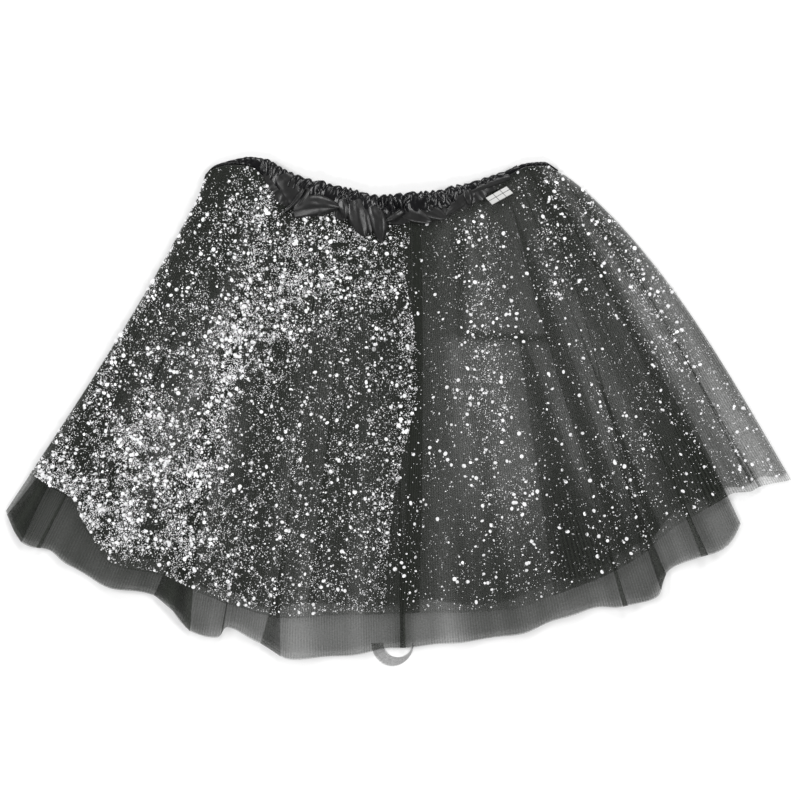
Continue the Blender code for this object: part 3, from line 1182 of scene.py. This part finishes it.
@dataclass
class SatinHeading:
    """The satin's free lower edge: a narrow strip that breaks into soft lobes below the elastic."""

    satin: bpy.types.Material
    first: float = 3.9
    last: float = 14.6
    tucked: float = 4.5
    base: float = 9.0
    columns: int = 300
    rows: int = 8
    lobe_steps: int = 22

    END_FADE = 1.2
    DROP = 5.5
    DROP_SWING = 4.0
    DROP_RIPPLE = 1.6
    CREASE = 0.08
    ABOVE_STRIP = 0.3
    FLAT_LONG = 0.42
    FLAT_DROP = 0.014

    def strip(self, column: int, row: int) -> Point:
        """Gives a point of the strip.

        Args:
            column: The point's column.
            row: The point's row.

        Returns:
            The point, in millimetres.
        """
        share = row / self.rows
        station = blend(self.first, self.last, column / self.columns)
        ends = smooth_step(min(station - self.first, self.last - station) / self.END_FADE)
        drop = ends * (self.DROP + self.DROP_SWING * waver(station * 1.9, 0.0, 8.0))
        drop += self.DROP_RIPPLE * ends * waver(station * 6.0, 0.0, 3.0)
        away_x, away_y = FAN.away_from_band(station)
        along = -self.tucked + (drop + self.tucked) * share
        wrinkle = waver(station * 7.0, share * 1.2, 2.0)
        lift = ends * (1.0 * (1 - share) + (0.4 + share) * wrinkle)
        x, y = FAN.seam_x(station) + away_x * along, FAN.seam_y(station) + away_y * along
        return x, y, self.base - self.fall(x) + lift

    def fall(self, x: float) -> float:
        """Gives how far the heading lies lower towards its ends, where the casing is thin."""
        return 3.2 * smooth_step((x - 58.0) / 36.0) + 0.9 * smooth_step((-x - 100.0) / 20.0)

    def lobe_point(self, lobe: Lobe, down: float, across: float) -> Vector:
        """Gives a point of a lobe in millimetres.

        Args:
            lobe: The lobe.
            down: The share of its length, from the root.
            across: The place across it, from -1 to 1.

        Returns:
            The point.
        """
        run = Vector((lobe.tip_x - lobe.root_x, lobe.tip_y - lobe.root_y))
        side = Vector((-run.y, run.x)).normalized()
        half = lobe.wide / 2 * math.sin(math.pi * (0.22 + 0.775 * down)) ** 0.62
        crease = math.sin(1.7 * math.pi * across + 2.0 * down + lobe.root_x)
        bend = lobe.bow * math.sin(math.pi * down) + half * across
        spot = Vector((lobe.root_x, lobe.root_y)) + run * down + side * bend
        round_off = math.sqrt(max(0.0, 1.0 - across * across))
        stand = lobe.rise * (0.45 + 0.75 * math.sin(math.pi * (0.15 + 0.75 * down))) * round_off
        stand += self.CREASE * lobe.rise * crease * round_off
        stand += 0.35 * waver(spot.x * 0.2, spot.y * 0.2, 1.0)
        return Vector((spot.x, spot.y, self.base - self.fall(spot.x) + self.ABOVE_STRIP + stand))

    def cloth(self, column: int, row: int) -> tuple[float, float]:
        """Gives a point's place on the flat strip, in metres."""
        return self.FLAT_LONG * column / self.columns, self.FLAT_DROP * row / self.rows

    def build(self) -> None:
        """Builds the heading: the strip, and each lobe as a small sheet of its own."""
        mesh = cloth_grid(self.columns, self.rows, self.strip, self.cloth)
        steps = self.lobe_steps
        for lobe in HEADING_LOBES:
            made = bmesh.ops.create_grid(mesh, x_segments=steps, y_segments=steps, size=1.0)
            for vert in made["verts"]:
                vert.co = self.lobe_point(lobe, 0.5 - vert.co.y / 2, vert.co.x) * MM
        piece = add_piece("satin_heading_folds", mesh, self.satin)
        declare(piece, "satin_heading")


@dataclass
class Label:
    """The small plain label beside the waist seam."""

    centre_x: float = 91.8
    centre_y: float = 194.5
    long: float = 21.5
    wide: float = 8.2
    slope: float = 29.0
    skew: float = -0.27
    height: float = 8.6
    wall: float = 0.3
    arch: float = 0.5
    columns: int = 24
    rows: int = 10

    def place(self, column: int, row: int) -> Point:
        """Gives a grid point.

        Args:
            column: The point's column.
            row: The point's row.

        Returns:
            The point, in millimetres.
        """
        turn = math.radians(self.slope)
        across = self.wide * (0.5 - row / self.rows)
        along = self.long * (column / self.columns - 0.5) + self.skew * across
        x = self.centre_x + along * math.cos(turn) - across * math.sin(turn)
        y = self.centre_y + along * math.sin(turn) + across * math.cos(turn)
        return x, y, self.height + self.arch * math.sin(math.pi * column / self.columns)

    def cloth(self, column: int, row: int) -> tuple[float, float]:
        """Gives a grid point's place on the flat label, in metres."""
        return self.long * MM * column / self.columns, self.wide * MM * row / self.rows

    def build(self) -> None:
        """Builds the label."""
        mesh = cloth_grid(self.columns, self.rows, self.place, self.cloth)
        bmesh.ops.solidify(mesh, geom=mesh.faces[:], thickness=self.wall * MM)
        piece = add_piece("plain_label", mesh, TapeFinish().make())
        declare(piece, "woven_label")


@dataclass
class HemLoop:
    """The narrow strip of tulle that hangs in a loop below the hem."""

    finish: NetFinish
    outer_x: float = -4.0
    outer_half: float = 19.0
    outer_drop: float = 20.5
    inner_x: float = 0.8
    inner_half: float = 13.2
    inner_drop: float = 12.6
    top_y: float = -207.5
    height: float = 0.7
    curl: float = 0.4
    wide: float = 6.0
    long: float = 70.0
    columns: int = 64
    rows: int = 6

    def place(self, column: int, row: int) -> Point:
        """Gives a grid point between the inner and the outer half ellipse.

        Args:
            column: The point's column, along the loop.
            row: The point's row, outwards.

        Returns:
            The point, in millimetres.
        """
        angle = math.pi * column / self.columns
        share = row / self.rows
        x = blend(self.inner_x, self.outer_x, share)
        x -= blend(self.inner_half, self.outer_half, share) * math.cos(angle)
        y = self.top_y - blend(self.inner_drop, self.outer_drop, share) * math.sin(angle)
        return x, y, self.height + self.curl * math.sin(3 * angle + row * 0.7)

    def cloth(self, column: int, row: int) -> tuple[float, float]:
        """Gives a grid point's place on the flat strip, in metres."""
        return self.wide * MM * row / self.rows, self.long * MM * column / self.columns

    def build(self) -> None:
        """Builds the loop."""
        mesh = cloth_grid(self.columns, self.rows, self.place, self.cloth)
        piece = add_piece("tulle_loop", mesh, self.finish.make())
        declare(piece, "hem_loop")


# The open front edge of the upper glitter stretch: share of the length, and the ray it lies on.
OPEN_EDGE = Curve(
    (0.0, 0.16, 0.3, 0.42, 0.58, 0.75, 1.0),
    (13.3, 13.0, 13.2, 13.18, 12.7, 12.25, 12.0),
)

PLAIN_NET = dict(cover=0.32, ribs=0.12, streaks=0.34, colour=(0.0114, 0.0129, 0.0106), grain=0.25)
GLITTER_NET = dict(cover=0.19, ribs=0.20, streaks=0.42, colour=(0.0118, 0.0131, 0.0110), grain=0.5)
LOOP_NET = NetFinish("loop_net", cover=0.42, ribs=0.16, streaks=0.1, colour=(0.07, 0.07, 0.07))
# The heading's satin: the same black satin, rougher, with strong painted sheen in lighter patches.
SOFT_SATIN = SatinFinish(
    "soft_satin", (0.003, 0.003, 0.003), roughness=0.34, sheen=0.5, painted_sheen=8.0, patch_scale=75.0
)

# How tightly each cloth is drawn together, by ray: the plain body, the plain hem, the glitter net.
DRAWN_TOGETHER = (
    (0.0, 1.4, 1.22, 1.45),
    (2.0, 1.25, 1.6, 1.3),
    (4.0, 1.15, 1.62, 1.2),
    (5.6, 1.1, 1.22, 1.16),
    (7.0, 1.12, 1.08, 1.15),
    (10.5, 1.1, 0.96, 1.12),
    (12.5, 1.02, 1.24, 1.06),
    (13.5, 0.92, 0.84, 1.02),
    (14.5, 0.66, 1.32, 0.86),
    (16.0, 0.66, 1.28, 0.86),
    (17.5, 0.66, 1.28, 0.9),
    (19.0, 0.86, 1.24, 1.02),
    (20.5, 0.92, 1.16, 1.06),
    (21.3, 0.92, 1.18, 1.2),
    (22.0, 0.3, 1.2, 1.5),
    (24.0, 0.3, 1.1, 1.2),
)
STOPS, *DRAWN = zip(*DRAWN_TOGETHER)
PLAIN_BODY, PLAIN_HEM, GLITTER_BODY = (Curve(STOPS, column) for column in DRAWN)

# Darker lines and a darker block inside the skirt, drawn as denser net on the front plain layer.
INNER_DARK_LINES = (
    Drift(57.0, 163.0, 57.0, 70.0, 4.2, 1.9),
    Drift(66.0, 70.0, 134.0, 66.5, 2.6, 3.4),
    Drift(49.0, 160.0, 49.0, 73.0, 8.0, 1.1),
    Drift(-66.0, 57.0, -77.0, 28.0, 4.0, 0.6),
    Drift(-100.0, 66.0, -140.0, 12.0, 8.0, 0.4),
    Drift(-48.0, 150.0, -56.0, 96.0, 6.0, 0.35),
)

# Painted shade, drawn as denser net: a dark band beside the open edge of the upper glitter stretch,
# for its shadow on the folded layers beneath, and a darker patch high on the flare.
SHADE_BESIDE_OPENING = (
    Drift(17.5, 150.0, 15.5, -50.0, 8.0, 1.2),
    Drift(15.5, -50.0, 9.0, -165.0, 8.0, 1.0),
    Drift(166.0, 198.0, 214.0, 126.0, 15.0, 0.8),
)

FRONT_PLAIN_TUCKS = (
    Tuck(0.62, 0.52, 0.85, 0.55),
    Tuck(1.75, 1.7, 0.16, 0.6),
    Tuck(5.5, 5.5, 1.05, 0.62, Lap.TO_LEFT),
    Tuck(9.45, 9.42, 0.66, 0.78),
    Tuck(12.5, 12.45, 0.15, 0.3, Lap.TO_LEFT),
    Tuck(18.1, 17.95, 0.18, 0.55),
    Tuck(19.2, 19.55, 0.6, 0.55),
    Tuck(20.9, 21.08, 0.16, 0.6, Lap.TO_LEFT),
)
BACK_PLAIN_TUCKS = (
    Tuck(7.4, 7.45, 0.35, 0.5, Lap.TO_LEFT),
)
RIGHT_TUCKS = (
    Tuck(13.5, 12.65, 0.5, 0.0, Lap.TO_LEFT, 0.3),
    Tuck(16.5, 17.02, 2.1, 0.36, grow=0.8),
    Tuck(18.35, 18.5, 0.2, 0.06, belly=0.75),
    Tuck(20.9, 19.1, 0.42, 0.42, bend=1.5),
    Tuck(21.4, 21.75, 0.45, 0.05),
    Tuck(22.2, 23.2, 0.1, 0.4, Lap.TO_LEFT),
)
LEFT_TUCKS = (
    Tuck(1.2, 1.25, 0.2, 0.1),
    Tuck(9.45, 9.5, 0.16, 0.25),
)
BACK_GLITTER_TUCKS = (
    Tuck(3.1, 3.0, 0.22, 0.1),
    Tuck(10.6, 10.4, 0.22, 0.1, Lap.TO_LEFT),
    Tuck(19.9, 20.1, 0.4, 0.3),
    Tuck(22.6, 23.0, 0.1, 0.4),
)

LEFT_DRIFTS = (
    Drift(-128.0, 185.0, -112.0, 140.0, 22.0, 0.5),
    Drift(-98.0, 120.0, -134.0, 60.0, 28.0, 0.75),
    Drift(-138.0, 60.0, -205.0, -25.0, 30.0, 0.4),
    Drift(-236.0, -30.0, -232.0, -100.0, 31.0, 0.58),
    Drift(-185.0, -40.0, -185.0, -130.0, 24.0, 0.4),
    Drift(-72.0, 168.0, -66.0, 105.0, 26.0, 0.8),
    Drift(-30.0, 158.0, -22.0, 115.0, 18.0, 0.5),
    Drift(6.0, 150.0, 12.0, 60.0, 10.0, 0.4),
    Drift(10.0, 20.0, -6.0, -150.0, 10.0, 0.25),
    Drift(-312.0, -60.0, -262.0, -95.0, 20.0, 0.85),
)
RIGHT_DRIFTS = (
    Drift(72.0, 165.0, 85.0, 10.0, 17.0, 2.2),
    Drift(135.0, 205.0, 145.0, 110.0, 15.0, 1.5),
    Drift(180.0, 190.0, 250.0, 50.0, 20.0, 1.2),
    Drift(210.0, -20.0, 212.0, -60.0, 16.0, 0.6),
    Drift(102.0, -140.0, 110.0, -60.0, 22.0, 0.5),
    Drift(60.0, 20.0, 95.0, -60.0, 18.0, 0.8),
)


class Skirt:
    """The whole skirt, layer on layer."""

    PLAIN_TO = 22.0
    BACK_SHORTER = 0.0015
    CASING_OFF_SURFACE = 0.3
    BACK_CASING_SHARE = 0.72
    CASING_GAP = 0.35
    GATHER_ROOM = 0.7

    # Swings of a hem: the ray, the reach in rays, and how far out it goes.
    FLARE_TIP = (23.8, 0.45, 0.015)
    CORNER = (21.55, 0.6, 0.017)
    HOLLOW = (5.4, 0.5, -0.008)
    FLARE_SHORTER = 0.022

    def __init__(self) -> None:
        """Sets out the layers from the surface up."""
        whole = float(len(RAYS) - 1)
        self.back_glitter = TullePanel(
            "back_glitter_tulle", "back_glitter_layer", base=0.5, lift=0.0, first=0.0, last=whole,
            length=self.flare_length, finish=NetFinish("back_glitter_net", **GLITTER_NET),
            flat=(1.00, 0.40), area=0.250, rests_on="surface", tucks=BACK_GLITTER_TUCKS, seed=1.0,
        )
        self.back_plain = TullePanel(
            "back_plain_tulle", "back_plain_layer", base=2.3, lift=1.2, first=0.0,
            last=self.PLAIN_TO, length=lambda ray: self.front_length(ray) - self.BACK_SHORTER,
            finish=NetFinish("back_plain_net", **PLAIN_NET), flat=(1.00, 0.43), area=0.250,
            rests_on="back_glitter_tulle", tucks=BACK_PLAIN_TUCKS, seed=2.0,
        )
        self.front_plain = TullePanel(
            "front_plain_tulle", "front_plain_layer", base=3.9, lift=5.0, first=0.0,
            last=self.PLAIN_TO, length=self.front_length,
            finish=NetFinish("front_plain_net", **PLAIN_NET), flat=(1.00, 0.43), area=0.270,
            rests_on="back_plain_tulle", tucks=FRONT_PLAIN_TUCKS, shades=INNER_DARK_LINES, rows=120,
            seed=3.0,
        )
        self.right = TullePanel(
            "front_glitter_tulle_right", "front_glitter_right", base=5.6, lift=6.0, first=11.5,
            last=whole, length=FAN.glitter, finish=NetFinish("right_glitter_net", **GLITTER_NET),
            flat=(0.60, 0.40), area=0.170, rests_on="front_plain_tulle", tucks=RIGHT_TUCKS,
            shades=SHADE_BESIDE_OPENING, sinks=True, seed=4.0,
        )
        self.left = TullePanel(
            "front_glitter_tulle_left", "front_glitter_left", base=7.5, lift=6.5, first=0.0,
            last=12.0, length=FAN.glitter, finish=NetFinish("left_glitter_net", **GLITTER_NET),
            flat=(0.60, 0.40), area=0.135, rests_on="front_plain_tulle", tucks=LEFT_TUCKS,
            edge=OPEN_EDGE, seed=5.0,
        )

    @staticmethod
    def swing(ray: float, middle: float, reach: float, out: float) -> float:
        """Gives a soft swing of the hem, as a share of the length."""
        return out * smooth_step(1.0 - abs(ray - middle) / reach)

    def flare_length(self, ray: float) -> float:
        """Gives the back glitter layer's share of the length, with the flare's rounded tip."""
        even = FAN.glitter(ray) - self.FLARE_SHORTER
        return even + 0.008 * math.sin(2.3 * ray) + self.swing(ray, *self.FLARE_TIP)

    def front_length(self, ray: float) -> float:
        """Gives the front plain layer's share of the length, with the hem's small swings."""
        swings = 1.0 + self.swing(ray, *self.CORNER) + self.swing(ray, *self.HOLLOW)
        return swings + 0.0015 * math.sin(5.1 * ray)

    def front_casing_base(self, station: float) -> float:
        """Gives the height on which the front casing lies."""
        back = self.BACK_CASING_SHARE * FAN.thick(station)
        return back + self.CASING_GAP + self.GATHER_ROOM * FAN.gather(station)

    def build_waist(self) -> None:
        """Builds the casing's two runs, the heading and the label."""
        satin = SatinFinish().make()
        GatheredBand(
            "back_casing", "waistband_back", gathers=24,
            lowest=lambda station: self.CASING_OFF_SURFACE, thickness_share=self.BACK_CASING_SHARE,
            inset=2.5, relief=0.8, seed=40.0, satin=satin,
        ).build()
        GatheredBand(
            "front_casing", "waistband_front", gathers=50, lowest=self.front_casing_base,
            thickness_share=1.0, inset=2.0, relief=1.4, seed=11.0, satin=satin,
        ).build()
        SatinHeading(SOFT_SATIN.make()).build()
        Label().build()

    def build(self) -> None:
        """Builds every piece."""
        for panel in (self.back_glitter, self.back_plain, self.front_plain, self.right, self.left):
            panel.build()
        self.build_waist()
        HemLoop(LOOP_NET).build()
        for name, panel, drifts, even, reach, fine, coarse in (
            ("left", self.left, LEFT_DRIFTS, 0.22, 13.5, 43000, 7200),
            ("right", self.right, RIGHT_DRIFTS, 0.40, 24.0, 8500, 2500),
            ("back", self.back_glitter, (), 0.50, 24.0, 1600, 500),
        ):
            for kind, count in ((FINE_FLECKS, fine), (COARSE_FLECKS, coarse)):
                GlitterFlecks(kind, name, panel, count, even, drifts, reach).build()


@dataclass
class Studio:
    """A pale floor, soft light from above and a camera that looks straight down."""

    centre_x: float = 2.7
    centre_y: float = 11.25
    camera_height: float = 2.0
    lens: float = 100.0
    floor_size: float = 3.0
    floor_tone: float = 0.93
    sky_strength: float = 0.14

    LAMPS = (
        ("soft_left", (-2.1, 0.7, 1.9), 43.0),
        ("soft_right", (2.1, 0.4, 1.9), 31.0),
        ("soft_back", (0.3, 2.3, 1.8), 38.0),
        ("soft_front", (-0.2, -2.2, 1.9), 31.0),
    )
    LAMP_SIZE = 1.0
    NET_BOUNCES = 32

    def floor(self) -> None:
        """Lays the floor."""
        mesh = bmesh.new()
        bmesh.ops.create_grid(mesh, x_segments=2, y_segments=2, size=self.floor_size)
        work = FinishNodes("studio_floor")
        work.shader.inputs["Base Color"].default_value = (*[self.floor_tone] * 3, 1.0)
        work.shader.inputs["Roughness"].default_value = 0.9
        work.shader.inputs["Specular IOR Level"].default_value = 0.1
        add_piece("studio_floor", mesh, work.material)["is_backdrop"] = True

    def lamp(self, name: str, place: Point, watts: float) -> None:
        """Hangs a square soft light that points at the skirt.

        Args:
            name: The light's name.
            place: Where it hangs, in metres.
            watts: Its strength.
        """
        data = bpy.data.lights.new(name, "AREA")
        data.shape = "SQUARE"
        data.size = self.LAMP_SIZE
        data.energy = watts
        light = bpy.data.objects.new(name, data)
        light.location = place
        light.rotation_euler = (-Vector(place)).to_track_quat("-Z", "Y").to_euler()
        bpy.context.scene.collection.objects.link(light)

    def build(self) -> None:
        """Sets up floor, lights, world and camera."""
        self.floor()
        for name, place, watts in self.LAMPS:
            self.lamp(name, place, watts)
        world = bpy.data.worlds.new("studio_world")
        world.use_nodes = True
        sky = world.node_tree.nodes["Background"]
        sky.inputs["Color"].default_value = (1.0, 1.0, 1.0, 1.0)
        sky.inputs["Strength"].default_value = self.sky_strength
        bpy.context.scene.world = world
        data = bpy.data.cameras.new("camera")
        data.lens = self.lens
        data.sensor_width = 36.0
        data.clip_end = 50.0
        camera = bpy.data.objects.new("camera", data)
        camera.location = (self.centre_x * MM, self.centre_y * MM, self.camera_height)
        bpy.context.scene.collection.objects.link(camera)
        scene = bpy.context.scene
        scene.camera = camera
        scene.view_settings.view_transform = "Standard"
        scene.cycles.transparent_max_bounces = self.NET_BOUNCES
        scene.cycles.max_bounces = 16


def main() -> None:
    """Builds the skirt and its studio."""
    logging.basicConfig(level=logging.INFO, format="%(name)s: %(message)s")
    Studio().build()
    Skirt().build()
    [[list(corner) for corner in box] for box in (CAD_BOUNDS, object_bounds())]


if __name__ == "__main__":
    main()
